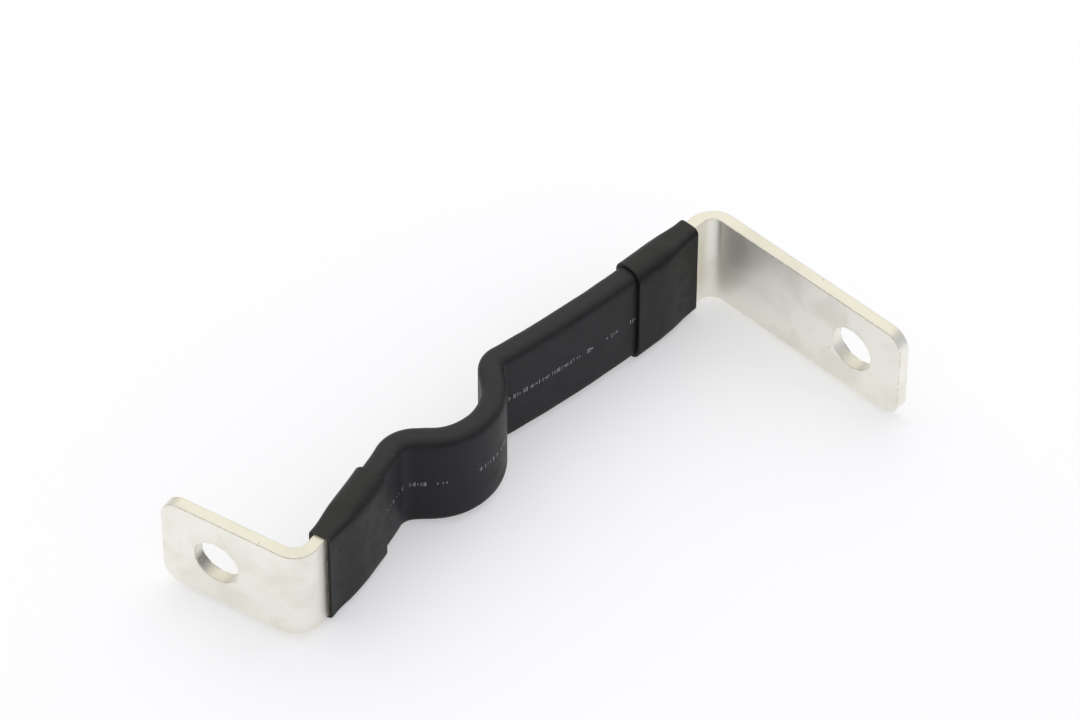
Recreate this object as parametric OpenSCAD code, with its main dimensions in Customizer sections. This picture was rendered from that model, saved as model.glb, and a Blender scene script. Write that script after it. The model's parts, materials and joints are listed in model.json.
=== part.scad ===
// Insulated flexible busbar link. A stack of thin copper foils is welded between
// two drilled, plated L-terminals and runs through a heat-shrink tube, with a short
// heat-shrink sleeve over each weld. The bar stands on its long edge, and its route,
// seen from above, is a Z with an expansion loop in the middle.
// Millimetres, +Z up. The origin is the centre of the left bolt hole on the pad's
// outer face. +X runs along the left pad from the hole to the bend, so the hole's
// axis is Y, and z = 0 is the middle of the bar's width.

/* [Bar] */
// Width of the terminals, which stand upright
bar_w = 20; // [16:0.5:30]
// Number of foils in the stack
foil_count = 16; // [10:1:24]
// Thickness of one foil
foil_t = 0.15; // [0.1:0.01:0.2]
// Air between two foils where the stack runs free
foil_gap = 0.04; // [0.01:0.01:0.1]
// How far a foil's edge stays inside the terminal's edge
foil_inset = 0.65; // [0.3:0.05:1.5]

/* [Terminals] */
// Straight length of the left pad, from its free end to the bend
left_pad_len = 24.2; // [20:0.1:60]
// Straight length of the right pad, from its free end to the bend
right_pad_len = 42.1; // [20:0.1:70]
// Inside radius of the bend between pad and stub
bend_r = 2.5; // [1.5:0.1:5]
// Straight stub from the bend to the weld with the foils
stub_len = 7; // [5:0.5:12]
// Corner radius at the pad's free end
pad_corner_r = 3.8; // [0.5:0.1:7]
// Bolt hole diameter
hole_d = 9; // [4:0.5:11]
// Bolt hole's centre to the pad's free end
hole_edge = 11.2; // [8:0.1:14]

/* [Route, seen from above] */
// Length of the left leg between the weld and the loop
left_leg = 18.3; // [14:0.1:60]
// Angle by which the left leg curves to the left
left_leg_turn = 6; // [-10:0.5:10]
// Radius of the loop's first bend, to the right
first_bend_r = 5.1; // [4:0.1:12]
// Angle of the loop's first bend
first_bend = 63; // [30:1:80]
// Straight run after the first bend
first_run = 2.8; // [0.5:0.1:20]
// Radius of the loop's second bend, to the left
second_bend_r = 11.2; // [4:0.1:20]
// Angle of the loop's second bend
second_bend = 96.5; // [60:0.5:120]
// Straight run after the second bend
second_run = 3.1; // [0.5:0.1:20]
// Radius of the loop's third bend, to the right
third_bend_r = 3.4; // [3.3:0.1:12]
// Angle of the loop's third bend
third_bend = 60.5; // [30:0.5:80]
// Length of the right leg between the loop and the weld
right_leg = 41; // [14:0.5:80]
// Angle by which the right leg curves to the left
right_leg_turn = 9; // [-10:0.5:12]

/* [Heat-shrink] */
// Wall of the main tube
tube_wall = 0.6; // [0.4:0.05:1]
// Air between the foil stack's face and the main tube
tube_air = 0.25; // [0.1:0.05:0.5]
// Outer radius of the main tube's long edges
tube_edge_r = 1.7; // [1.4:0.05:2.2]
// Distance from each weld to the main tube's end
tube_setback = 3.4; // [3:0.1:8]
// Wall of an end sleeve where it lies over the main tube
sleeve_wall = 0.7; // [0.4:0.05:1.2]
// Wall of an end sleeve on the terminal's faces, adhesive liner included
mouth_face_wall = 1.05; // [0.5:0.05:1.5]
// Wall of an end sleeve on the terminal's edges
mouth_edge_wall = 0.55; // [0.3:0.05:1.2]
// Distance from each bend to the sleeve's mouth
mouth_setback = 2.2; // [0.5:0.1:3.5]
// Outer radius of an end sleeve's long edges at its mouth
mouth_edge_r = 1.25; // [0.6:0.05:1.8]
// Length of a sleeve's step up from the terminal to the main tube
ramp_len = 2.4; // [1:0.1:2.8]
// Length of the left end sleeve over the main tube
left_overlap = 8.5; // [4:0.1:10]
// Length of the right end sleeve over the main tube
right_overlap = 7.6; // [4:0.1:10]
// Clearance between a shrunk piece and what it grips
fit = 0.05; // [0.02:0.01:0.1]

/* [Hidden] */

// The bar is as thick as the foils packed tight.
bar_t = foil_count * foil_t;
foil_w = bar_w - 2 * foil_inset;
free_stack_t = bar_t + (foil_count - 1) * foil_gap;
// Distance from a weld over which the stack opens to its free pitch
fan_len = 3 * tube_setback;

// The main tube's rounded inside edge passes a foil's corner at the fit clearance.
tube_t = free_stack_t + 2 * (tube_air + tube_wall);
tube_r = min(tube_edge_r, 0.45 * tube_t);
tube_inner_r = tube_r - tube_wall;
corner_rise = sqrt(pow(tube_inner_r - fit, 2) - pow(tube_inner_r - tube_air, 2));
tube_h = foil_w + 2 * (tube_inner_r - corner_rise + tube_wall);

// An end sleeve at its mouth, gripping the terminal
mouth_t = bar_t + 2 * (fit + mouth_face_wall);
mouth_h = bar_w + 2 * (fit + mouth_edge_wall);
mouth_r = min(mouth_edge_r, 0.45 * mouth_t);
grip_inner_r = 2 * fit;
grip_len = stub_len - mouth_setback + tube_setback - ramp_len - fit;

// Fineness of the curves: degrees and millimetres between two rings of a sweep,
// rings along a sleeve's step and seat, points round a section's corner
arc_step = 9;
run_step = 5;
ramp_rings = 8;
seat_rings = 6;
corner_steps = 5;
round_fn = 96;

plated = "#d9d5c8";
copper = "#b87350";
tube_black = "#2b2b2c";
sleeve_black = "#242426";

function foil_name(i) = str("foil_", i < 10 ? "0" : "", i);

// ---- Route: stretches of constant curvature, each [length, turn to the left] ----

function arc_len(radius, turn) = radius * turn * PI / 180;

bend_mid_r = bend_r + bar_t / 2;
ROUTE = [
    [left_pad_len, 0],
    [arc_len(bend_mid_r, 90), 90],
    [stub_len, 0],
    [left_leg, left_leg_turn],
    [arc_len(first_bend_r, first_bend), -first_bend],
    [first_run, 0],
    [arc_len(second_bend_r, second_bend), second_bend],
    [second_run, 0],
    [arc_len(third_bend_r, third_bend), -third_bend],
    [right_leg, right_leg_turn],
    [stub_len, 0],
    [arc_len(bend_mid_r, 90), -90],
    [right_pad_len, 0]
];

// Pose [x, y, heading] after following one stretch
function advance(pose, stretch) =
    let (h = pose[2], turn = stretch[1], new_h = h + turn)
    turn == 0
        ? [pose[0] + stretch[0] * cos(h), pose[1] + stretch[0] * sin(h), h]
        : let (r = stretch[0] / (turn * PI / 180))
          [pose[0] + r * (sin(new_h) - sin(h)), pose[1] - r * (cos(new_h) - cos(h)), new_h];

function walk(pose, i = 0) =
    i == len(ROUTE) ? [pose] : concat([pose], walk(advance(pose, ROUTE[i]), i + 1));
function add_up(list, i = 0, sum = 0) =
    i == len(list) ? [sum] : concat([sum], add_up(list, i + 1, sum + list[i][0]));

POSES = walk([-hole_edge, bar_t / 2, 0]);
MARKS = add_up(ROUTE);
left_bend_end = MARKS[2];
left_weld = MARKS[3];
right_weld = MARKS[10];
right_bend_start = MARKS[11];

function stretch_at(s, i = 0) =
    i == len(ROUTE) - 1 || s < MARKS[i + 1] ? i : stretch_at(s, i + 1);

// Pose of the centre line at distance s from the left pad's free end
function pose_at(s) =
    let (i = stretch_at(s), part = s - MARKS[i])
    advance(POSES[i], [part, ROUTE[i][1] * part / ROUTE[i][0]]);

// Point beside the centre line, side to the left of the way
function beside(s, side) =
    let (p = pose_at(s))
    [p[0] - side * sin(p[2]), p[1] + side * cos(p[2])];

function steps_in(stretch) =
    max(1, ceil(abs(stretch[1]) / arc_step), ceil(stretch[0] / run_step));

// Distances between two points of the route, close together in the bends
function stations(from, to) = concat(
    [from],
    [for (i = [0 : len(ROUTE) - 1], k = [0 : steps_in(ROUTE[i]) - 1])
        let (s = MARKS[i] + ROUTE[i][0] * k / steps_in(ROUTE[i]))
        if (s > from + fit && s < to - fit) s],
    [to]
);

// ---- Shells swept along the route ----

function smooth(t) =
    let (u = min(1, max(0, t)))
    u * u * (3 - 2 * u);
function blend(a, b, t) = a + (b - a) * t;

// Rounded rectangle as [side, z] points: thickness t, height h, edge radius r
function section(t, h, r) = [
    for (q = [0 : 3], k = [0 : corner_steps])
        let (a = 90 * (q + k / corner_steps),
             side = q == 0 || q == 3 ? 1 : -1,
             up = q < 2 ? 1 : -1)
        [side * (t / 2 - r) + r * cos(a), up * (h / 2 - r) + r * sin(a)]
];

function placed(s, ring) = [
    for (p = ring)
        let (q = beside(s, p[0]))
        [q[0], q[1], p[1]]
];

// A shell between matching lists of outer and inner rings
module shell(outer, inner) {
    n = len(outer[0]);
    rings = len(outer);
    side_count = rings * n;
    points = [for (ring = concat(outer, inner), p = ring) p];
    walls = [
        for (j = [0 : rings - 2], k = [0 : n - 1])
            let (a = j * n + k, b = j * n + (k + 1) % n, c = a + n, d = b + n)
            each [[a, b, d], [a, d, c],
                  [side_count + a, side_count + d, side_count + b],
                  [side_count + a, side_count + c, side_count + d]]
    ];
    ends = [
        for (k = [0 : n - 1])
            let (a = k, b = (k + 1) % n, last = (rings - 1) * n)
            each [[a, side_count + a, side_count + b], [a, side_count + b, b],
                  [last + a, side_count + last + b, side_count + last + a],
                  [last + a, last + b, side_count + last + b]]
    ];
    polyhedron(points = points, faces = concat(walls, ends), convexity = 8);
}

// ---- Terminals ----

// Flat pad with its free end at x = 0, outer face at y = 0
module pad(length) {
    rotate([90, 0, 0])
        translate([0, 0, -bar_t])
        linear_extrude(bar_t)
        difference() {
            union() {
                translate([pad_corner_r, -bar_w / 2])
                    square([length - pad_corner_r, bar_w]);
                translate([0, -bar_w / 2 + pad_corner_r])
                    square([pad_corner_r, bar_w - 2 * pad_corner_r]);
                for (up = [-1, 1])
                    translate([pad_corner_r, up * (bar_w / 2 - pad_corner_r)])
                        circle(r = pad_corner_r, $fn = round_fn);
            }
            translate([hole_edge, 0])
                circle(d = hole_d, $fn = round_fn);
        }
}

// L-terminal: the pad along +X, a quarter bend, and the stub along +Y
module terminal(pad_len) {
    union() {
        pad(pad_len);
        translate([pad_len, bar_t + bend_r, 0])
            rotate([0, 0, -90])
            rotate_extrude(angle = 90, $fn = round_fn)
            translate([bend_r, -bar_w / 2])
            square([bar_t, bar_w]);
        translate([pad_len + bend_r, bar_t + bend_r, -bar_w / 2])
            cube([bar_t, stub_len, bar_w]);
    }
}

module left_terminal() {
    color(plated)
        translate([-hole_edge, 0, 0])
        terminal(left_pad_len);
}

// The right terminal is the left one's mirror form, set back from the route's end.
module right_terminal() {
    tip = POSES[len(ROUTE)];
    color(plated)
        translate([tip[0], tip[1], 0])
        rotate([0, 0, tip[2] + 180])
        translate([0, -bar_t / 2, 0])
        terminal(right_pad_len);
}

// ---- Foils ----

// Share of the free pitch: 0 at the welds, 1 inside the main tube
function looseness(s) =
    smooth((s - left_weld) / fan_len) * smooth((right_weld - s) / fan_len);

function foil_side(i, s) =
    (i - (foil_count + 1) / 2) * (foil_t + foil_gap * looseness(s));

// Foil number i, counted from the right-hand side of the way
module foil(i) {
    along = stations(left_weld, right_weld);
    back = [for (k = [len(along) - 1 : -1 : 0]) along[k]];
    color(copper)
        linear_extrude(foil_w, center = true)
        polygon(concat(
            [for (s = along) beside(s, foil_side(i, s) - foil_t / 2)],
            [for (s = back) beside(s, foil_side(i, s) + foil_t / 2)]
        ));
}

// ---- Heat-shrink ----

module main_tube() {
    along = stations(left_weld + tube_setback, right_weld - tube_setback);
    outer = section(tube_t, tube_h, tube_r);
    inner = section(tube_t - 2 * tube_wall, tube_h - 2 * tube_wall, tube_inner_r);
    color(tube_black)
        shell([for (s = along) placed(s, outer)], [for (s = along) placed(s, inner)]);
}

// How far a sleeve has opened from terminal to tube, at distance d from its mouth
function opened(d) = smooth((d - grip_len) / ramp_len);

function sleeve_inside(d) = section(
    blend(bar_t, tube_t, opened(d)) + 2 * fit,
    blend(bar_w, tube_h, opened(d)) + 2 * fit,
    blend(grip_inner_r, tube_r + fit, opened(d))
);

function sleeve_outside(d) = section(
    blend(mouth_t, tube_t + 2 * (fit + sleeve_wall), opened(d)),
    blend(mouth_h, tube_h + 2 * (fit + sleeve_wall), opened(d)),
    blend(mouth_r, tube_r + fit + sleeve_wall, opened(d))
);

// End sleeve from its mouth over the terminal, along the way for dir = 1 and
// against it for dir = -1
module end_sleeve(mouth, overlap, dir) {
    seat_start = grip_len + ramp_len;
    depths = concat(
        [0, grip_len / 2, grip_len],
        [for (k = [1 : ramp_rings]) grip_len + ramp_len * k / ramp_rings],
        [for (k = [1 : seat_rings]) seat_start + overlap * k / seat_rings]
    );
    last = len(depths) - 1;
    ordered = [for (k = [0 : last]) depths[dir > 0 ? k : last - k]];
    color(sleeve_black)
        shell([for (d = ordered) placed(mouth + dir * d, sleeve_outside(d))],
              [for (d = ordered) placed(mouth + dir * d, sleeve_inside(d))]);
}

module left_end_sleeve() {
    end_sleeve(left_bend_end + mouth_setback, left_overlap, 1);
}

module right_end_sleeve() {
    end_sleeve(right_bend_start - mouth_setback, right_overlap, -1);
}

left_terminal();
right_terminal();
for (i = [1 : foil_count])
    foil(i);
main_tube();
left_end_sleeve();
right_end_sleeve();
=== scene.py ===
"""Looks of an insulated flexible busbar link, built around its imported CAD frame.

Two drilled, tin-plated L-terminals carry a welded stack of copper foils. The stack is
shrunk into a black tube, and a short adhesive-lined sleeve covers each weld. The
sections follow the order in which the real link is put together. Lengths are in metres.
"""

import json
import math

import bpy
import numpy as np
from mathutils import Matrix, Vector, geometry, noise


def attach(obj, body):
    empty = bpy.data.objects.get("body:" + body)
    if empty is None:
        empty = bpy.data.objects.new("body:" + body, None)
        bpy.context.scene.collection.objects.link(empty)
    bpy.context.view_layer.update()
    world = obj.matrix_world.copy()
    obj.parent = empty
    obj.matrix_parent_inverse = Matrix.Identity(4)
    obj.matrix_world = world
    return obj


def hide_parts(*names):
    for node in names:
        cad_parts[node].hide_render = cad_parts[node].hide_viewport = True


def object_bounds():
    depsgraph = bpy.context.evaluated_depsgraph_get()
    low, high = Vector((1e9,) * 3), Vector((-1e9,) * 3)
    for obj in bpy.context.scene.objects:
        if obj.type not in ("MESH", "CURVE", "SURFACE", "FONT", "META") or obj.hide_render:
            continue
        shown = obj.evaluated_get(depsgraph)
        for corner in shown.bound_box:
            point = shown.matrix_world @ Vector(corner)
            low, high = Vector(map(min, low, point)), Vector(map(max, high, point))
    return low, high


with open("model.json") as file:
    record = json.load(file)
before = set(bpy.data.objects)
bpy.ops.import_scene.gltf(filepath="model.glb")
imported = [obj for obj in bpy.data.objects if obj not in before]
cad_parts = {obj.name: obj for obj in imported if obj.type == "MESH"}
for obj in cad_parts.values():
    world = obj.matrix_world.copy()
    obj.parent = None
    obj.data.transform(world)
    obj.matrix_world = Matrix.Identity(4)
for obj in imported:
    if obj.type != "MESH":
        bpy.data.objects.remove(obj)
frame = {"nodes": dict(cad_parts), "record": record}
cad_low, cad_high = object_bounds()
mounts = {mount["name"]: mount for mount in frame["record"]["mounts"]}
MM = 0.001


# ---------------------------------------------------------------------------------
# Left terminal
# A short flat copper bar, sheared to length, its free corners rounded and one bolt
# hole punched. It is tin plated, then bent square on a press brake.
# ---------------------------------------------------------------------------------

BAR_WIDTH = 20.0 * MM
BAR_THICKNESS = 2.4 * MM
BEND_INSIDE_RADIUS = 2.5 * MM
STUB_LENGTH = 7.0 * MM
PAD_CORNER_RADIUS = 3.8 * MM
SHEARED_EDGE_RADIUS = 0.24 * MM
HOLE_RADIUS = 4.5 * MM
HOLE_LIP = 0.16 * MM
HOLE_FROM_END = 11.2 * MM
BEND_SIDE_BULGE = 0.16 * MM
LEFT_PAD_LENGTH = 24.2 * MM

BEND_MIDDLE_RADIUS = BEND_INSIDE_RADIUS + BAR_THICKNESS / 2
BEND_LENGTH = BEND_MIDDLE_RADIUS * math.pi / 2
EDGE_STEPS = 4


def blank_outline(pad_length, inset):
    """The flat blank's outline as rows of [along, up, normal along, normal up]."""
    length = pad_length + BEND_LENGTH + STUB_LENGTH
    half = BAR_WIDTH / 2 - inset
    radius = PAD_CORNER_RADIUS - inset
    points = []
    for side in (-1, 1):
        corner = []
        for step in range(17):
            angle = math.pi / 2 * step / 16
            corner.append((
                inset + radius * (1 - math.sin(angle)),
                side * (half - radius * (1 - math.cos(angle))),
                -math.sin(angle),
                side * math.cos(angle),
            ))
        run = []
        flat_steps = 10
        for step in range(1, flat_steps + 1):
            run.append(PAD_CORNER_RADIUS + (pad_length - PAD_CORNER_RADIUS) * step / flat_steps)
        for step in range(1, 19):
            run.append(pad_length + BEND_LENGTH * step / 18)
        for step in (1, 2, 3):
            run.append(pad_length + BEND_LENGTH + (STUB_LENGTH - inset) * step / 3)
        straight = [(along, side * half, 0.0, float(side)) for along in run]
        if side < 0:
            points += corner[::-1] + straight
        else:
            points += straight[::-1] + corner
    return np.array(points)


def hole_outline(radius):
    """The punched hole's rim, its normals towards its axis."""
    points = []
    for step in range(96):
        angle = 2 * math.pi * step / 96
        points.append((
            HOLE_FROM_END + radius * math.cos(angle),
            radius * math.sin(angle),
            -math.cos(angle),
            -math.sin(angle),
        ))
    return np.array(points)


def edge_rings(outline_at, lip):
    """Rings over a plate's edge from its outer face, depth 0, to its inner face.
    Each ring is rows of [along, depth, up, normal along, normal depth, normal up, edge]."""
    rings = []
    for face in (0, 1):
        for step in range(EDGE_STEPS + 1):
            angle = math.pi / 2 * (step if face == 0 else EDGE_STEPS - step) / EDGE_STEPS
            flat = outline_at(lip * (1 - math.sin(angle)))
            sunk = lip * (1 - math.cos(angle))
            depth = sunk if face == 0 else BAR_THICKNESS - sunk
            lean = -math.cos(angle) if face == 0 else math.cos(angle)
            ring = np.zeros((len(flat), 7))
            ring[:, 0] = flat[:, 0]
            ring[:, 1] = depth
            ring[:, 2] = flat[:, 1]
            ring[:, 3] = flat[:, 2] * math.sin(angle)
            ring[:, 4] = lean
            ring[:, 5] = flat[:, 3] * math.sin(angle)
            ring[:, 6] = math.sin(2 * angle)
            rings.append(ring)
    return rings


def bend_blank(points, normals, pad_length):
    """Bends flat points (along, depth, up) and their normals on the press brake."""
    bent = np.zeros_like(points)
    turned = np.zeros_like(normals)
    for i, (along, depth, up) in enumerate(points):
        angle = min(max((along - pad_length) / BEND_MIDDLE_RADIUS, 0.0), math.pi / 2)
        beyond = max(0.0, along - pad_length - BEND_LENGTH)
        flat = min(along, pad_length)
        radius = BEND_INSIDE_RADIUS + BAR_THICKNESS - depth
        bulge = math.sin(2 * angle) * BEND_SIDE_BULGE * (2 * depth / BAR_THICKNESS - 1)
        bulge *= (2 * up / BAR_WIDTH) ** 5
        bent[i] = (
            flat + radius * math.sin(angle),
            BAR_THICKNESS + BEND_INSIDE_RADIUS - radius * math.cos(angle) + beyond,
            up + bulge,
        )
        n_along, n_depth, n_up = normals[i]
        turned[i] = (
            n_along * math.cos(angle) - n_depth * math.sin(angle),
            n_along * math.sin(angle) + n_depth * math.cos(angle),
            n_up,
        )
    return bent, turned


def face_fill(outline, hole, pad_length):
    """Triangles over a pad's face, around its hole, with rows of points in the bend."""
    points = [Vector(row[:2]) for row in outline] + [Vector(row[:2]) for row in hole]
    rim = len(outline)
    edges = [(i, (i + 1) % rim) for i in range(rim)]
    edges += [(rim + i, rim + (i + 1) % len(hole)) for i in range(len(hole))]
    low = {round(row[0], 7): i for i, row in enumerate(outline) if row[1] < 0}
    high = {round(row[0], 7): i for i, row in enumerate(outline) if row[1] > 0}
    for along, i in low.items():
        if along >= pad_length - 1e-6 and along in high:
            edges.append((i, high[along]))
    filled = geometry.delaunay_2d_cdt(points, edges, [], 1, 1e-9)
    triangles = []
    for tri in filled[2]:
        middle = sum((filled[0][i] for i in tri), Vector((0, 0))) / len(tri)
        if (middle - Vector((HOLE_FROM_END, 0))).length > HOLE_RADIUS * 0.98:
            triangles.append(tuple(filled[3][i][0] for i in tri))
    return triangles


def mesh_piece(name, points, faces, normals=None, sharp_angle=None):
    """A new mesh object with smooth shading, from points and faces."""
    mesh = bpy.data.meshes.new(name)
    mesh.from_pydata([tuple(p) for p in points], [], faces)
    mesh.polygons.foreach_set("use_smooth", [True] * len(mesh.polygons))
    mesh.update()
    if normals is not None:
        mesh.normals_split_custom_set_from_vertices([tuple(n) for n in normals])
    if sharp_angle is not None:
        mesh.set_sharp_from_angle(angle=sharp_angle)
    piece = bpy.data.objects.new(name, mesh)
    bpy.context.scene.collection.objects.link(piece)
    return piece


def keep_on_points(piece, attribute, kind, values):
    """Stores a value for each point, which the material reads by name."""
    layer = piece.data.attributes.new(attribute, kind, "POINT")
    field = "value" if kind == "FLOAT" else "vector"
    layer.data.foreach_set(field, np.asarray(values, dtype=np.float32).ravel())


def terminal(name, pad_length, place):
    """One L-terminal: pad along +X with its outer face at y = 0, stub along +Y."""
    rim = edge_rings(lambda inset: blank_outline(pad_length, inset), SHEARED_EDGE_RADIUS)
    bore = edge_rings(lambda inset: hole_outline(HOLE_RADIUS + inset), HOLE_LIP)
    rim_count = len(rim[0])
    bore_count = len(bore[0])
    bore_start = rim_count * len(rim)
    rows = np.vstack(rim + bore)
    faces = []
    for j in range(len(rim) - 1):
        for k in range(rim_count):
            a = j * rim_count + k
            b = j * rim_count + (k + 1) % rim_count
            faces.append((a, a + rim_count, b + rim_count, b))
    for j in range(len(bore) - 1):
        for k in range(bore_count):
            a = bore_start + j * bore_count + k
            b = bore_start + j * bore_count + (k + 1) % bore_count
            faces.append((a, b, b + bore_count, a + bore_count))
    for face, turn in ((0, 1), (len(rim) - 1, -1)):
        outline = rim[face][:, [0, 2]]
        hole = bore[face][:, [0, 2]]
        where = {}
        for k in range(rim_count):
            where[k] = face * rim_count + k
        for k in range(bore_count):
            where[rim_count + k] = bore_start + face * bore_count + k
        for tri in face_fill(outline, hole, pad_length):
            faces.append(tuple(where[i] for i in tri[::turn]))
    points, normals = bend_blank(rows[:, :3], rows[:, 3:6], pad_length)
    points = np.array([place @ Vector(p) for p in points])
    turn_only = place.to_3x3()
    normals = np.array([(turn_only @ Vector(n)).normalized() for n in normals])
    piece = mesh_piece(name, points, faces, normals)
    keep_on_points(piece, "edge", "FLOAT", rows[:, 6])
    keep_on_points(piece, "blank_mm", "FLOAT_VECTOR", rows[:, :3] / MM)
    return piece


def new_group(name, inputs, outputs):
    """A shader node group with named float inputs and outputs, and its two ends."""
    group = bpy.data.node_groups.new(name, "ShaderNodeTree")
    for socket, kind, default in inputs:
        made = group.interface.new_socket(socket, in_out="INPUT", socket_type=kind)
        if default is not None:
            made.default_value = default
    for socket, kind in outputs:
        group.interface.new_socket(socket, in_out="OUTPUT", socket_type=kind)
    start = group.nodes.new("NodeGroupInput")
    end = group.nodes.new("NodeGroupOutput")
    return group, start, end


def join(tree, source, target):
    """Links an output socket to an input socket."""
    tree.links.new(source, target)


def calculate(tree, operation, first, second=None, third=None):
    """A Math node; each term is a number or a socket."""
    node = tree.nodes.new("ShaderNodeMath")
    node.operation = operation
    for slot, term in enumerate((first, second, third)):
        if term is None:
            continue
        if isinstance(term, (int, float)):
            node.inputs[slot].default_value = term
        else:
            join(tree, term, node.inputs[slot])
    return node.outputs[0]


def stepped(tree, value, low, high, out_low=0.0, out_high=1.0):
    """A smooth Map Range of a socket from low..high to out_low..out_high."""
    node = tree.nodes.new("ShaderNodeMapRange")
    node.interpolation_type = "SMOOTHSTEP"
    join(tree, value, node.inputs["Value"])
    limits = (("From Min", low), ("From Max", high), ("To Min", out_low), ("To Max", out_high))
    for socket, term in limits:
        if isinstance(term, (int, float)):
            node.inputs[socket].default_value = term
        else:
            join(tree, term, node.inputs[socket])
    return node.outputs["Result"]


def noise_value(tree, vector, scale, detail=3.0, roughness=0.5, distortion=0.0):
    """The value of a Noise Texture over a vector socket."""
    node = tree.nodes.new("ShaderNodeTexNoise")
    join(tree, vector, node.inputs["Vector"])
    if isinstance(scale, (int, float)):
        node.inputs["Scale"].default_value = scale
    else:
        join(tree, scale, node.inputs["Scale"])
    node.inputs["Detail"].default_value = detail
    node.inputs["Roughness"].default_value = roughness
    node.inputs["Distortion"].default_value = distortion
    return node.outputs["Fac"]


def colour_mix(tree, factor, first, second, blend="MIX"):
    """A Mix node for colours; each colour is a tuple or a socket."""
    node = tree.nodes.new("ShaderNodeMix")
    node.data_type = "RGBA"
    node.blend_type = blend
    if isinstance(factor, (int, float)):
        node.inputs["Factor"].default_value = factor
    else:
        join(tree, factor, node.inputs["Factor"])
    for slot, colour in (("A", first), ("B", second)):
        socket = [s for s in node.inputs if s.name == slot and s.type == "RGBA"][0]
        if isinstance(colour, tuple):
            socket.default_value = (*colour, 1.0)
        else:
            join(tree, colour, socket)
    return [s for s in node.outputs if s.type == "RGBA"][0]


def stretched(tree, vector, scale):
    """A vector socket multiplied by three numbers."""
    node = tree.nodes.new("ShaderNodeVectorMath")
    node.operation = "MULTIPLY"
    join(tree, vector, node.inputs[0])
    node.inputs[1].default_value = scale
    return node.outputs[0]


def stored(tree, name, output="Fac"):
    """The value that keep_on_points stored under a name."""
    node = tree.nodes.new("ShaderNodeAttribute")
    node.attribute_name = name
    return node.outputs[output]


# Smudges: soft cloudy patches and small stains from handling, as two masks
smudges, ends_in, ends_out = new_group(
    "Handling smudges",
    [
        ("Place", "NodeSocketVector", None),
        ("Patch Size", "NodeSocketFloat", 0.1),
        ("Stain Size", "NodeSocketFloat", 0.5),
    ],
    [("Patches", "NodeSocketFloat"), ("Stains", "NodeSocketFloat")],
)
cloud = noise_value(smudges, ends_in.outputs["Place"], ends_in.outputs["Patch Size"], 4.0, 0.55, 0.4)
join(smudges, stepped(smudges, cloud, 0.42, 0.68), ends_out.inputs["Patches"])
blot = noise_value(smudges, ends_in.outputs["Place"], ends_in.outputs["Stain Size"], 2.0, 0.5, 0.8)
join(smudges, stepped(smudges, blot, 0.64, 0.76), ends_out.inputs["Stains"])

# Rolled grain: fine streaks along the bar, as a height
grain, ends_in, ends_out = new_group(
    "Rolled grain",
    [("Place", "NodeSocketVector", None), ("Fineness", "NodeSocketFloat", 6.0)],
    [("Height", "NodeSocketFloat")],
)
drawn = stretched(grain, ends_in.outputs["Place"], (0.16, 1.0, 1.0))
streaks = noise_value(grain, drawn, ends_in.outputs["Fineness"], 3.0, 0.6)
speckle = noise_value(grain, ends_in.outputs["Place"], 5.0, 3.0, 0.65)
total = calculate(grain, "ADD", calculate(grain, "MULTIPLY", streaks, 0.5), speckle)
join(grain, total, ends_out.inputs["Height"])


def new_material(name):
    """An empty material with its Principled shader, joined to the output."""
    material = bpy.data.materials.new(name)
    material.use_nodes = True
    tree = material.node_tree
    tree.nodes.clear()
    shader = tree.nodes.new("ShaderNodeBsdfPrincipled")
    output = tree.nodes.new("ShaderNodeOutputMaterial")
    join(tree, shader.outputs["BSDF"], output.inputs["Surface"])
    return material, tree, shader


def placed_group(tree, group, **values):
    """A node group in a material; each value is a number or a socket."""
    node = tree.nodes.new("ShaderNodeGroup")
    node.node_tree = group
    for socket, value in values.items():
        target = node.inputs[socket.replace("_", " ")]
        if isinstance(value, (int, float)):
            target.default_value = value
        else:
            join(tree, value, target)
    return node


def bumped(tree, height, distance, strength, shader):
    """A Bump node from a height to the shader's Normal."""
    node = tree.nodes.new("ShaderNodeBump")
    node.inputs["Distance"].default_value = distance
    node.inputs["Strength"].default_value = strength
    join(tree, height, node.inputs["Height"])
    join(tree, node.outputs["Normal"], shader.inputs["Normal"])


TIN_CLEAN = (0.93, 0.91, 0.83)
TIN_HANDLED = (0.83, 0.80, 0.72)
TIN_ON_CUT = (0.77, 0.74, 0.61)
TIN_WORN = (0.50, 0.41, 0.26)
TIN_PIT = (0.10, 0.09, 0.08)

tin, tree, shader = new_material("tin_plating")
blank = stored(tree, "blank_mm", "Vector")
marks = placed_group(tree, smudges, Place=blank, Patch_Size=0.13, Stain_Size=0.42)
facing = tree.nodes.new("ShaderNodeNewGeometry")
normal_parts = tree.nodes.new("ShaderNodeSeparateXYZ")
join(tree, facing.outputs["Normal"], normal_parts.inputs[0])
on_cut_edge = stepped(tree, calculate(tree, "ABSOLUTE", normal_parts.outputs["Z"]), 0.55, 0.95)
patched = calculate(tree, "MULTIPLY", marks.outputs["Patches"], 0.55)
stained = calculate(tree, "MULTIPLY", marks.outputs["Stains"], 0.35)
face_colour = colour_mix(tree, patched, TIN_CLEAN, TIN_HANDLED)
face_colour = colour_mix(tree, stained, face_colour, TIN_HANDLED)
face_colour = colour_mix(tree, on_cut_edge, face_colour, TIN_ON_CUT)
broken = stepped(tree, noise_value(tree, blank, 1.6, 3.0, 0.6), 0.40, 0.62)
wear_and_painted_light = calculate(tree, "MULTIPLY", stepped(tree, stored(tree, "edge"), 0.35, 0.95), broken)
face_colour = colour_mix(tree, calculate(tree, "MULTIPLY", wear_and_painted_light, 0.55), face_colour, TIN_WORN)
pits = tree.nodes.new("ShaderNodeTexVoronoi")
pits.inputs["Scale"].default_value = 0.55
join(tree, blank, pits.inputs["Vector"])
pit_parts = tree.nodes.new("ShaderNodeSeparateXYZ")
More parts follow.
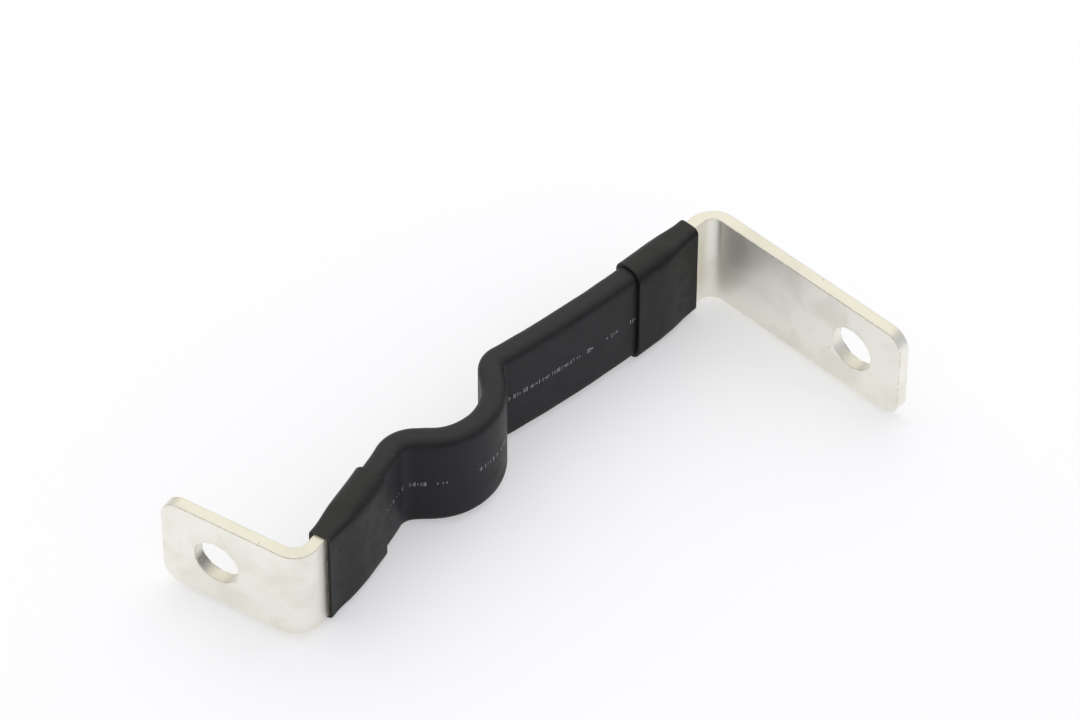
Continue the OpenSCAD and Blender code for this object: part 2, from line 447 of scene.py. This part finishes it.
join(tree, pits.outputs["Color"], pit_parts.inputs[0])
pitted = calculate(tree, "GREATER_THAN", pit_parts.outputs[0], 0.93)
pitted = calculate(tree, "MULTIPLY", pitted, stepped(tree, pits.outputs["Distance"], 0.05, 0.09, 1.0, 0.0))
face_colour = colour_mix(tree, calculate(tree, "MULTIPLY", pitted, 0.7), face_colour, TIN_PIT)
join(tree, face_colour, shader.inputs["Base Color"])
shader.inputs["Metallic"].default_value = 1.0
dulled = calculate(tree, "MULTIPLY", marks.outputs["Patches"], 0.10)
dulled = calculate(tree, "ADD", dulled, calculate(tree, "MULTIPLY", marks.outputs["Stains"], 0.06))
join(tree, calculate(tree, "ADD", dulled, 0.42), shader.inputs["Roughness"])
texture = placed_group(tree, grain, Place=blank, Fineness=5.0)
bumped(tree, texture.outputs["Height"], 0.02 * MM, 0.45, shader)

left_place = Matrix.Translation((-HOLE_FROM_END, 0.0, 0.0))
left_terminal = terminal("left_terminal_plated", LEFT_PAD_LENGTH, left_place)
left_terminal.data.materials.append(tin)
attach(left_terminal, "root")
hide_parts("left_terminal")


# ---------------------------------------------------------------------------------
# Right terminal
# The same sheared, punched and plated bar with a longer pad, bent the other way, so
# that the two pads stand nearly parallel at the ends of a Z.
# ---------------------------------------------------------------------------------

RIGHT_PAD_LENGTH = 42.1 * MM

right_hole = mounts["right_hole"]
inward = Vector(right_hole["axis"])
right_turn = math.atan2(-inward.x, inward.y)
right_place = (
    Matrix.Translation(Vector(right_hole["pos_m"]) - inward * BAR_THICKNESS)
    @ Matrix.Rotation(right_turn, 4, "Z")
    @ Matrix.Translation((-HOLE_FROM_END, 0.0, 0.0))
)
right_terminal = terminal("right_terminal_plated", RIGHT_PAD_LENGTH, right_place)
right_terminal.data.materials.append(tin)
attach(right_terminal, "root")
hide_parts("right_terminal")


# ---------------------------------------------------------------------------------
# Copper foils
# Sixteen rolled copper foils laid face to face. Their ends are pressed together and
# welded to the terminals' stubs, and between the welds they slide on each other.
# ---------------------------------------------------------------------------------

COPPER_BRIGHT = (0.80, 0.40, 0.24)
COPPER_DULL = (0.52, 0.24, 0.14)

copper, tree, shader = new_material("rolled_copper_foil")
where = tree.nodes.new("ShaderNodeTexCoord")
foil_mm = stretched(tree, where.outputs["Object"], (1000.0, 1000.0, 1000.0))
marks = placed_group(tree, smudges, Place=foil_mm, Patch_Size=0.2, Stain_Size=0.7)
foil_colour = colour_mix(tree, marks.outputs["Patches"], COPPER_BRIGHT, COPPER_DULL)
join(tree, foil_colour, shader.inputs["Base Color"])
shader.inputs["Metallic"].default_value = 1.0
join(tree, stepped(tree, marks.outputs["Stains"], 0.0, 1.0, 0.28, 0.45), shader.inputs["Roughness"])
texture = placed_group(tree, grain, Place=foil_mm, Fineness=8.0)
bumped(tree, texture.outputs["Height"], 0.01 * MM, 0.4, shader)

for name, node in frame["nodes"].items():
    if name.startswith("foil_"):
        node.data.materials.clear()
        node.data.materials.append(copper)


# ---------------------------------------------------------------------------------
# Main tube
# A black polyolefin heat-shrink tube, pushed over the loose stack and shrunk with hot
# air, then bent with it round the expansion loop. A faint dotted print runs along it.
# ---------------------------------------------------------------------------------

# The strap's way after the left weld, as (length, turn to the left in degrees)
STRAP_WAY = (
    (18.3 * MM, 6.0),
    (5.1 * MM * math.radians(63.0), -63.0),
    (2.8 * MM, 0.0),
    (11.2 * MM * math.radians(96.5), 96.5),
    (3.1 * MM, 0.0),
    (3.4 * MM * math.radians(60.5), -60.5),
    (41.0 * MM, 9.0),
)
TUBE_THICKNESS = 4.7 * MM
TUBE_HEIGHT = 20.86 * MM
TUBE_EDGE_RADIUS = 1.7 * MM
TUBE_WALL = 0.6 * MM
TUBE_SETBACK = 3.4 * MM
STRAP_LENGTH = sum(length for length, turn in STRAP_WAY)

weld_x = LEFT_PAD_LENGTH - HOLE_FROM_END + BEND_MIDDLE_RADIUS
weld_y = BAR_THICKNESS / 2 + BEND_MIDDLE_RADIUS + STUB_LENGTH


def strap_pose(distance):
    """Middle line's (x, y, heading) at a distance from the left weld, before it too."""
    x = weld_x
    y = weld_y
    heading = math.pi / 2
    left = distance
    for number, (length, turn) in enumerate(STRAP_WAY):
        last = number == len(STRAP_WAY) - 1
        part = left if left < 0 else min(left, length)
        turned = 0.0 if left < 0 else math.radians(turn) * part / length
        if abs(turned) < 1e-9:
            x += part * math.cos(heading)
            y += part * math.sin(heading)
        else:
            radius = part / turned
            x += radius * (math.sin(heading + turned) - math.sin(heading))
            y -= radius * (math.cos(heading + turned) - math.cos(heading))
            heading += turned
        left -= part
        if last and left > 0:
            x += left * math.cos(heading)
            y += left * math.sin(heading)
        if left <= 1e-12:
            break
    return x, y, heading


def rounded_section(thickness, height, radius):
    """A rounded rectangle's points as rows of [side, up], evenly numbered on each side."""
    points = []
    corners = ((1, 1), (-1, 1), (-1, -1), (1, -1))
    for quarter, (side, up) in enumerate(corners):
        for step in range(9):
            angle = math.pi / 2 * (quarter + step / 8)
            points.append((
                side * (thickness / 2 - radius) + radius * math.cos(angle),
                up * (height / 2 - radius) + radius * math.sin(angle),
            ))
        here = points[-1]
        next_side, next_up = corners[(quarter + 1) % 4]
        angle = math.pi / 2 * (quarter + 1)
        there = (
            next_side * (thickness / 2 - radius) + radius * math.cos(angle),
            next_up * (height / 2 - radius) + radius * math.sin(angle),
        )
        between = 13 if quarter in (1, 3) else 3
        for step in range(1, between):
            share = step / between
            points.append((
                here[0] + (there[0] - here[0]) * share,
                here[1] + (there[1] - here[1]) * share,
            ))
    return np.array(points)


def swept_shell(name, rings, sharp_angle):
    """A closed shell from a round of rings, each (distance, section points).
    The rings go out along the outside, over the end, and back along the inside."""
    count = len(rings[0][1])
    points = []
    place = []
    for distance, section in rings:
        x, y, heading = strap_pose(distance)
        for side, up in section:
            points.append((x - side * math.sin(heading), y + side * math.cos(heading), up))
            place.append((distance / MM, side / MM, up / MM))
    faces = []
    for j in range(len(rings)):
        for k in range(count):
            a = j * count + k
            b = j * count + (k + 1) % count
            c = (j + 1) % len(rings) * count + (k + 1) % count
            d = (j + 1) % len(rings) * count + k
            faces.append((a, d, c, b))
    piece = mesh_piece(name, points, faces, sharp_angle=sharp_angle)
    keep_on_points(piece, "strap_mm", "FLOAT_VECTOR", place)
    return piece


def shrunk_surface(distance, section, depth):
    """Shrunk tubing isn't quite even: every point sinks by up to a small depth."""
    sunk = section.copy()
    for k, (side, up) in enumerate(section):
        spot = Vector((distance / MM * 0.28, side / MM * 0.35, up / MM * 0.22))
        dent = 0.5 + 0.5 * noise.noise(spot)
        fine = 0.5 + 0.5 * noise.noise(spot * 3.1 + Vector((7.0, 3.0, 1.0)))
        sink = depth * (0.75 * dent + 0.25 * fine)
        sunk[k] = (
            side - math.copysign(sink, side) if abs(side) > 0.3 * MM else side,
            up - math.copysign(sink, up) if abs(up) > 9.0 * MM else up,
        )
    return sunk


tube_start = TUBE_SETBACK
tube_end = STRAP_LENGTH - TUBE_SETBACK
tube_rings = []
tube_steps = int(round((tube_end - tube_start) / (0.45 * MM)))
outer_section = rounded_section(TUBE_THICKNESS, TUBE_HEIGHT, TUBE_EDGE_RADIUS)
inner_section = rounded_section(
    TUBE_THICKNESS - 2 * TUBE_WALL, TUBE_HEIGHT - 2 * TUBE_WALL, TUBE_EDGE_RADIUS - TUBE_WALL
)
for step in range(tube_steps + 1):
    distance = tube_start + (tube_end - tube_start) * step / tube_steps
    tube_rings.append((distance, shrunk_surface(distance, outer_section, 0.10 * MM)))
for step in range(tube_steps, -1, -1):
    distance = tube_start + (tube_end - tube_start) * step / tube_steps
    tube_rings.append((distance, inner_section))
tube = swept_shell("main_tube_shrunk", tube_rings, math.radians(50))

# Fine shrink texture: the matt skin of shrunk polyolefin, as a height
skin, ends_in, ends_out = new_group(
    "Shrink skin",
    [("Place", "NodeSocketVector", None)],
    [("Height", "NodeSocketFloat"), ("Dull", "NodeSocketFloat")],
)
fine = noise_value(skin, ends_in.outputs["Place"], 7.0, 4.0, 0.6)
drawn = stretched(skin, ends_in.outputs["Place"], (0.5, 1.0, 0.12))
pull = noise_value(skin, drawn, 1.1, 2.0, 0.5)
total = calculate(skin, "ADD", calculate(skin, "MULTIPLY", fine, 0.35), pull)
join(skin, total, ends_out.inputs["Height"])
dulling = noise_value(skin, ends_in.outputs["Place"], 0.35, 3.0, 0.6)
join(skin, stepped(skin, dulling, 0.4, 0.65), ends_out.inputs["Dull"])

# Dust and scuffs: sparse pale specks and short rubbed marks, as one mask
dust, ends_in, ends_out = new_group(
    "Dust and scuffs",
    [("Place", "NodeSocketVector", None), ("Speck Limit", "NodeSocketFloat", 0.8)],
    [("Mask", "NodeSocketFloat")],
)
specks = dust.nodes.new("ShaderNodeTexVoronoi")
specks.inputs["Scale"].default_value = 1.1
join(dust, ends_in.outputs["Place"], specks.inputs["Vector"])
speck_parts = dust.nodes.new("ShaderNodeSeparateXYZ")
join(dust, specks.outputs["Color"], speck_parts.inputs[0])
near = stepped(dust, specks.outputs["Distance"], 0.07, 0.13, 1.0, 0.0)
chosen = calculate(dust, "GREATER_THAN", speck_parts.outputs[0], ends_in.outputs["Speck Limit"])
rub = noise_value(dust, stretched(dust, ends_in.outputs["Place"], (0.5, 1.0, 1.6)), 1.3, 4.0, 0.7)
rub_and_cut_highlight = stepped(dust, rub, 0.70, 0.80)
speckled = calculate(dust, "MULTIPLY", near, chosen)
join(dust, calculate(dust, "MAXIMUM", speckled, rub_and_cut_highlight), ends_out.inputs["Mask"])


SHRINK_DULLED = (0.026, 0.026, 0.026)
# Painted sheen: a pale warm tint for upward faces, standing in for the softbox's light from above.
TOP_SHEEN_PAINT = (0.42, 0.39, 0.31)
DUST_SPECK = (0.42, 0.41, 0.38)
# Painted highlight: the pale line along the rounded cut at a sleeve's mouth.
CUT_EDGE_HIGHLIGHT = (0.10, 0.098, 0.09)


def shrink_black(name, colour, roughness):
    """Satin black heat-shrink with its skin, dust and scuffs, a painted warm sheen on its upward faces and a
    painted highlight line along a sleeve's cut edge.
    """
    material, tree, shader = new_material(name)
    place = stored(tree, "strap_mm", "Vector")
    surface = placed_group(tree, skin, Place=place)
    specks = placed_group(tree, dust, Place=place, Speck_Limit=0.93)
    dusty = calculate(tree, "MULTIPLY", specks.outputs["Mask"], 0.22)
    dull_share = calculate(tree, "MULTIPLY", surface.outputs["Dull"], 0.25)
    # This colour carries the real dulling and dust, and also the painted sheen and painted highlight below.
    wear_and_painted_light = colour_mix(tree, dull_share, colour, SHRINK_DULLED)
    facing = tree.nodes.new("ShaderNodeNewGeometry")
    parts = tree.nodes.new("ShaderNodeSeparateXYZ")
    join(tree, facing.outputs["Normal"], parts.inputs[0])
    # Painted sheen: faces that point up are tinted pale and warm, as if lit from above.
    top_sheen_share = stepped(tree, parts.outputs["Z"], 0.45, 0.95, 0.0, 0.05)
    wear_and_painted_light = colour_mix(tree, top_sheen_share, wear_and_painted_light, TOP_SHEEN_PAINT)
    wear_and_painted_light = colour_mix(tree, dusty, wear_and_painted_light, DUST_SPECK)
    # Painted highlight: a pale line painted along the cut edge at a sleeve's mouth.
    rub_and_cut_highlight = calculate(tree, "MULTIPLY", stored(tree, "cut_edge"), 0.7)
    wear_and_painted_light = colour_mix(tree, rub_and_cut_highlight, wear_and_painted_light, CUT_EDGE_HIGHLIGHT)
    rough = calculate(tree, "ADD", calculate(tree, "MULTIPLY", surface.outputs["Dull"], 0.08), roughness)
    join(tree, wear_and_painted_light, shader.inputs["Base Color"])
    join(tree, rough, shader.inputs["Roughness"])
    shader.inputs["Specular IOR Level"].default_value = 0.2
    bumped(tree, surface.outputs["Height"], 0.05 * MM, 0.35, shader)
    return material, tree, shader, wear_and_painted_light


tube_black, tree, shader, plain_black = shrink_black("printed_heat_shrink", (0.012, 0.012, 0.014), 0.46)

# The print is only dots, four or two above each other, in groups at mid-height.
PRINT_DOT_PITCH = 0.27
PRINT_ROWS = 4
PRINT_INK = (0.62, 0.63, 0.64)
place = tree.nodes.new("ShaderNodeSeparateXYZ")
join(tree, stored(tree, "strap_mm", "Vector"), place.inputs[0])
column = calculate(tree, "DIVIDE", place.outputs["X"], PRINT_DOT_PITCH)
row = calculate(tree, "DIVIDE", calculate(tree, "ADD", place.outputs["Z"], 0.1), PRINT_DOT_PITCH)
chance = tree.nodes.new("ShaderNodeTexWhiteNoise")
chance.noise_dimensions = "1D"
join(tree, calculate(tree, "FLOOR", column), chance.inputs["W"])
jetted = calculate(tree, "GREATER_THAN", chance.outputs["Value"], 0.45)
shorter = calculate(tree, "GREATER_THAN", chance.outputs["Value"], 0.70)
across = calculate(tree, "SUBTRACT", calculate(tree, "FRACT", column), 0.5)
upward = calculate(tree, "SUBTRACT", calculate(tree, "FRACT", row), 0.5)
across_squared = calculate(tree, "MULTIPLY", across, across)
upward_squared = calculate(tree, "MULTIPLY", upward, upward)
reach = calculate(tree, "ADD", across_squared, upward_squared)
dot = stepped(tree, reach, 0.06, 0.16, 1.0, 0.0)
half_rows = calculate(tree, "SUBTRACT", PRINT_ROWS / 2, shorter)
in_rows = calculate(tree, "LESS_THAN", calculate(tree, "ABSOLUTE", row), half_rows)
groups = noise_value(tree, stretched(tree, stored(tree, "strap_mm", "Vector"), (1.0, 0.0, 0.0)), 0.21, 0.0)
in_group = calculate(tree, "GREATER_THAN", groups, 0.43)
on_face = calculate(tree, "LESS_THAN", place.outputs["Y"], 0.0)
ink = calculate(tree, "MULTIPLY", dot, jetted)
for mask in (in_rows, in_group, on_face):
    ink = calculate(tree, "MULTIPLY", ink, mask)
faded = stepped(tree, noise_value(tree, stored(tree, "strap_mm", "Vector"), 0.9, 2.0), 0.35, 0.6, 0.35, 0.95)
ink = calculate(tree, "MULTIPLY", ink, faded)
join(tree, colour_mix(tree, ink, plain_black, PRINT_INK), shader.inputs["Base Color"])

tube.data.materials.append(tube_black)
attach(tube, "root")
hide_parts("main_tube")


# ---------------------------------------------------------------------------------
# Left end sleeve
# A short length of thicker heat-shrink with a hot-melt lining. It is slid over the
# left weld and the tube's end, and shrunk until the lining shows at its mouth.
# ---------------------------------------------------------------------------------

FIT = 0.05 * MM
SLEEVE_WALL = 0.7 * MM
MOUTH_FACE_WALL = 1.05 * MM
MOUTH_EDGE_WALL = 0.55 * MM
MOUTH_EDGE_RADIUS = 1.25 * MM
MOUTH_SETBACK = 2.2 * MM
RAMP_LENGTH = 2.4 * MM
GRIP_LENGTH = STUB_LENGTH - MOUTH_SETBACK + TUBE_SETBACK - RAMP_LENGTH - FIT
CUT_ROUNDING = 0.13 * MM
LINER_THICKNESS = 0.2 * MM
LEFT_OVERLAP = 8.5 * MM


def opened(depth):
    """How far a sleeve has opened from the terminal to the tube, 0 to 1."""
    share = min(1.0, max(0.0, (depth - GRIP_LENGTH) / RAMP_LENGTH))
    return share * share * (3 - 2 * share)


def drawn_open(depth, lead, tail):
    """The same for the outside, which shrinking draws into a longer, softer step."""
    share = min(1.0, max(0.0, (depth - GRIP_LENGTH + lead) / (RAMP_LENGTH + lead + tail)))
    return share * share * (3 - 2 * share)


def sleeve_outside(depth, sink=0.0):
    """The sleeve's outer section at a depth from its mouth."""
    over_faces = drawn_open(depth, 4.6 * MM, 1.6 * MM)
    over_edges = drawn_open(depth, 0.8 * MM, 0.8 * MM)
    mouth_thickness = BAR_THICKNESS + 2 * (FIT + MOUTH_FACE_WALL)
    mouth_height = BAR_WIDTH + 2 * (FIT + MOUTH_EDGE_WALL)
    seat_thickness = TUBE_THICKNESS + 2 * (FIT + SLEEVE_WALL)
    seat_height = TUBE_HEIGHT + 2 * (FIT + SLEEVE_WALL)
    seat_radius = TUBE_EDGE_RADIUS + FIT + SLEEVE_WALL
    thickness = mouth_thickness + (seat_thickness - mouth_thickness) * over_faces
    height = mouth_height + (seat_height - mouth_height) * over_edges
    radius = MOUTH_EDGE_RADIUS + (seat_radius - MOUTH_EDGE_RADIUS) * over_edges
    return rounded_section(thickness - 2 * sink, height - 2 * sink, radius - sink)


def sleeve_inside(depth, wall=0.0, spare=0.0):
    """The sleeve's inner section at a depth from its mouth, plus a layer on it."""
    share = opened(depth)
    grip = (BAR_THICKNESS + 2 * FIT, BAR_WIDTH + 2 * FIT, 2 * FIT)
    seat = (TUBE_THICKNESS + 2 * FIT, TUBE_HEIGHT + 2 * FIT, TUBE_EDGE_RADIUS + FIT)
    sizes = [a + (b - a) * share for a, b in zip(grip, seat)]
    layer = wall * (1 - share) + spare
    return rounded_section(sizes[0] + 2 * layer, sizes[1] + 2 * layer * 0.6, sizes[2] + layer * 0.6)


def end_sleeve(name, mouth, way, overlap):
    """The black jacket, hollowed to leave room for its lining. way is 1 along the strap and -1 against it.
    """
    length = GRIP_LENGTH + RAMP_LENGTH + overlap
    depths = [CUT_ROUNDING + (length - 2 * CUT_ROUNDING) * step / 60 for step in range(61)]
    rings = [(0.0, sleeve_outside(0.0, CUT_ROUNDING))]
    for step in range(1, 4):
        angle = math.pi / 2 * step / 4
        rings.append((
            CUT_ROUNDING * (1 - math.cos(angle)),
            sleeve_outside(0.0, CUT_ROUNDING * (1 - math.sin(angle))),
        ))
    for depth in depths:
        rings.append((depth, sleeve_outside(depth)))
    for step in range(3, -1, -1):
        angle = math.pi / 2 * step / 4
        rings.append((
            length - CUT_ROUNDING * (1 - math.cos(angle)),
            sleeve_outside(length, CUT_ROUNDING * (1 - math.sin(angle))),
        ))
    inner_depths = [length * step / 60 for step in range(60, -1, -1)]
    for depth in inner_depths:
        rings.append((depth, sleeve_inside(depth, LINER_THICKNESS)))
    along = []
    for number, (depth, section) in enumerate(rings):
        if number < len(rings) - len(inner_depths):
            section = shrunk_surface(mouth + way * depth, section, 0.09 * MM)
        along.append((mouth + way * depth, section))
    if way < 0:
        along = along[::-1]
    jacket = swept_shell(name, along, math.radians(50))
    # The rings that round the cut are marked, and the material paints a pale highlight line along them.
    cut = [1.0 if 0 < number < 4 else 0.0 for number in range(len(rings))]
    if way < 0:
        cut = cut[::-1]
    keep_on_points(jacket, "cut_edge", "FLOAT", np.repeat(cut, len(rings[0][1])))
    return jacket


sleeve_black, tree, shader, plain_black = shrink_black("end_sleeve_heat_shrink", (0.008, 0.008, 0.009), 0.45)

left_mouth = -STUB_LENGTH + MOUTH_SETBACK
left_sleeve = end_sleeve("left_end_sleeve_shrunk", left_mouth, 1, LEFT_OVERLAP)
left_sleeve.data.materials.append(sleeve_black)
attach(left_sleeve, "root")
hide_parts("left_end_sleeve")


def sleeve_lining(name, mouth, way):
    """The hot-melt lining between the jacket and the terminal, a little thinner at the mouth."""
    depths = [0.05 * MM, 0.12 * MM, 0.3 * MM, 0.8 * MM, 1.5 * MM, 2.5 * MM, 3.5 * MM]
    rings = []
    for depth in depths:
        rings.append((depth, sleeve_inside(depth, LINER_THICKNESS * (0.96 if depth > 0.1 * MM else 0.8))))
    for depth in depths[::-1]:
        rings.append((depth, sleeve_inside(depth, 0.02 * MM)))
    along = [(mouth + way * depth, section) for depth, section in rings]
    if way < 0:
        along = along[::-1]
    return swept_shell(name, along, math.radians(50))


MELT_LIGHT = (0.24, 0.19, 0.12)
MELT_DARK = (0.09, 0.065, 0.04)

melt, tree, shader = new_material("hot_melt_lining")
place = stored(tree, "strap_mm", "Vector")
marks = placed_group(tree, smudges, Place=place, Patch_Size=0.5, Stain_Size=1.2)
join(tree, colour_mix(tree, marks.outputs["Patches"], MELT_LIGHT, MELT_DARK), shader.inputs["Base Color"])
join(tree, stepped(tree, marks.outputs["Stains"], 0.0, 1.0, 0.35, 0.55), shader.inputs["Roughness"])
surface = placed_group(tree, skin, Place=place)
bumped(tree, surface.outputs["Height"], 0.05 * MM, 0.5, shader)

left_lining = sleeve_lining("left_sleeve_lining", left_mouth, 1)
left_lining.data.materials.append(melt)
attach(left_lining, "root")


# ---------------------------------------------------------------------------------
# Right end sleeve
# The same adhesive-lined sleeve over the right weld, a little shorter, shrunk last.
# ---------------------------------------------------------------------------------

RIGHT_OVERLAP = 7.6 * MM

right_mouth = STRAP_LENGTH + STUB_LENGTH - MOUTH_SETBACK
right_sleeve = end_sleeve("right_end_sleeve_shrunk", right_mouth, -1, RIGHT_OVERLAP)
right_sleeve.data.materials.append(sleeve_black)
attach(right_sleeve, "root")
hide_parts("right_end_sleeve")

right_lining = sleeve_lining("right_sleeve_lining", right_mouth, -1)
right_lining.data.materials.append(melt)
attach(right_lining, "root")


# ---------------------------------------------------------------------------------
# Studio
# A plain pale floor under the link's lowest edge, one large warm softbox above and
# behind it on the left, and a soft pale surround that is darker at the horizon.
# ---------------------------------------------------------------------------------

FLOOR_HALF = 4.0
floor_mesh = bpy.data.meshes.new("floor")
floor_mesh.from_pydata(
    [
        (-FLOOR_HALF, -FLOOR_HALF, 0),
        (FLOOR_HALF, -FLOOR_HALF, 0),
        (FLOOR_HALF, FLOOR_HALF, 0),
        (-FLOOR_HALF, FLOOR_HALF, 0),
    ],
    [],
    [(0, 1, 2, 3)],
)
floor = bpy.data.objects.new("floor", floor_mesh)
floor.location.z = cad_low.z
bpy.context.scene.collection.objects.link(floor)

paper = bpy.data.materials.new("white_paper")
paper.use_nodes = True
tree = paper.node_tree
tree.nodes.clear()
output = tree.nodes.new("ShaderNodeOutputMaterial")
matt = tree.nodes.new("ShaderNodeBsdfDiffuse")
matt.inputs["Color"].default_value = (0.985, 0.975, 0.97, 1.0)
glow = tree.nodes.new("ShaderNodeEmission")
glow.inputs["Color"].default_value = (1.0, 1.0, 1.0, 1.0)
glow.inputs["Strength"].default_value = 1.45
path = tree.nodes.new("ShaderNodeLightPath")
seen = calculate(tree, "MAXIMUM", path.outputs["Is Camera Ray"], path.outputs["Is Glossy Ray"])
seen = calculate(tree, "MAXIMUM", seen, path.outputs["Is Transmission Ray"])
both = tree.nodes.new("ShaderNodeMixShader")
join(tree, calculate(tree, "MULTIPLY", seen, 0.26), both.inputs["Fac"])
join(tree, matt.outputs["BSDF"], both.inputs[1])
join(tree, glow.outputs["Emission"], both.inputs[2])
join(tree, both.outputs["Shader"], output.inputs["Surface"])
floor_mesh.materials.append(paper)

world = bpy.data.worlds.new("studio")
bpy.context.scene.world = world
world.use_nodes = True
tree = world.node_tree
tree.nodes.clear()
output = tree.nodes.new("ShaderNodeOutputWorld")
where = tree.nodes.new("ShaderNodeTexCoord")
parts = tree.nodes.new("ShaderNodeSeparateXYZ")
join(tree, where.outputs["Generated"], parts.inputs[0])
surround = tree.nodes.new("ShaderNodeBackground")
surround.inputs["Color"].default_value = (0.90, 0.93, 1.0, 1.0)
join(tree, stepped(tree, parts.outputs["Z"], 0.0, 0.7, 0.55, 0.75), surround.inputs["Strength"])
white = tree.nodes.new("ShaderNodeBackground")
white.inputs["Color"].default_value = (1.0, 1.0, 1.0, 1.0)
white.inputs["Strength"].default_value = 1.0
path = tree.nodes.new("ShaderNodeLightPath")
both = tree.nodes.new("ShaderNodeMixShader")
join(tree, path.outputs["Is Camera Ray"], both.inputs["Fac"])
join(tree, surround.outputs["Background"], both.inputs[1])
join(tree, white.outputs["Background"], both.inputs[2])
join(tree, both.outputs["Shader"], output.inputs["Surface"])

middle = (cad_low + cad_high) / 2


def softbox(name, direction, distance, width, height, power, colour):
    """A rectangular softbox that faces the link's middle."""
    lamp = bpy.data.lights.new(name, "AREA")
    lamp.shape = "RECTANGLE"
    lamp.size = width
    lamp.size_y = height
    lamp.energy = power
    lamp.color = colour
    box = bpy.data.objects.new(name, lamp)
    box.location = middle + Vector(direction).normalized() * distance
    box.rotation_mode = "QUATERNION"
    box.rotation_quaternion = (middle - box.location).to_track_quat("-Z", "Y")
    bpy.context.scene.collection.objects.link(box)
    return box


softbox("key_softbox", (-0.40, 0.42, 0.90), 1.15, 2.1, 1.6, 5.6, (1.0, 0.96, 0.86))

# The camera looks down on the link from the front right, from far away.
CAMERA_PLACE = Vector((416.25, -578.01, 827.63)) * MM
CAMERA_AZIMUTH = math.radians(-31.3137)
CAMERA_DOWN = math.radians(47.5321)
CAMERA_ROLL = math.radians(0.222)
SENSOR_WIDTH = 36.0
LENS = 212.4667

ahead = Vector((
    math.sin(CAMERA_AZIMUTH) * math.cos(CAMERA_DOWN),
    math.cos(CAMERA_AZIMUTH) * math.cos(CAMERA_DOWN),
    -math.sin(CAMERA_DOWN),
))
level = Vector((math.cos(CAMERA_AZIMUTH), -math.sin(CAMERA_AZIMUTH), 0.0))
upright = level.cross(ahead)
rolled_level = level * math.cos(CAMERA_ROLL) + upright * math.sin(CAMERA_ROLL)
rolled_upright = upright * math.cos(CAMERA_ROLL) - level * math.sin(CAMERA_ROLL)

camera_data = bpy.data.cameras.new("camera")
camera_data.sensor_width = SENSOR_WIDTH
camera_data.lens = LENS
camera_data.clip_end = 20.0
camera = bpy.data.objects.new("camera", camera_data)
turn = Matrix((rolled_level, rolled_upright, -ahead)).transposed()
camera.matrix_world = Matrix.Translation(CAMERA_PLACE) @ turn.to_4x4()
bpy.context.scene.collection.objects.link(camera)
bpy.context.scene.camera = camera
bpy.context.scene.view_settings.view_transform = "Standard"
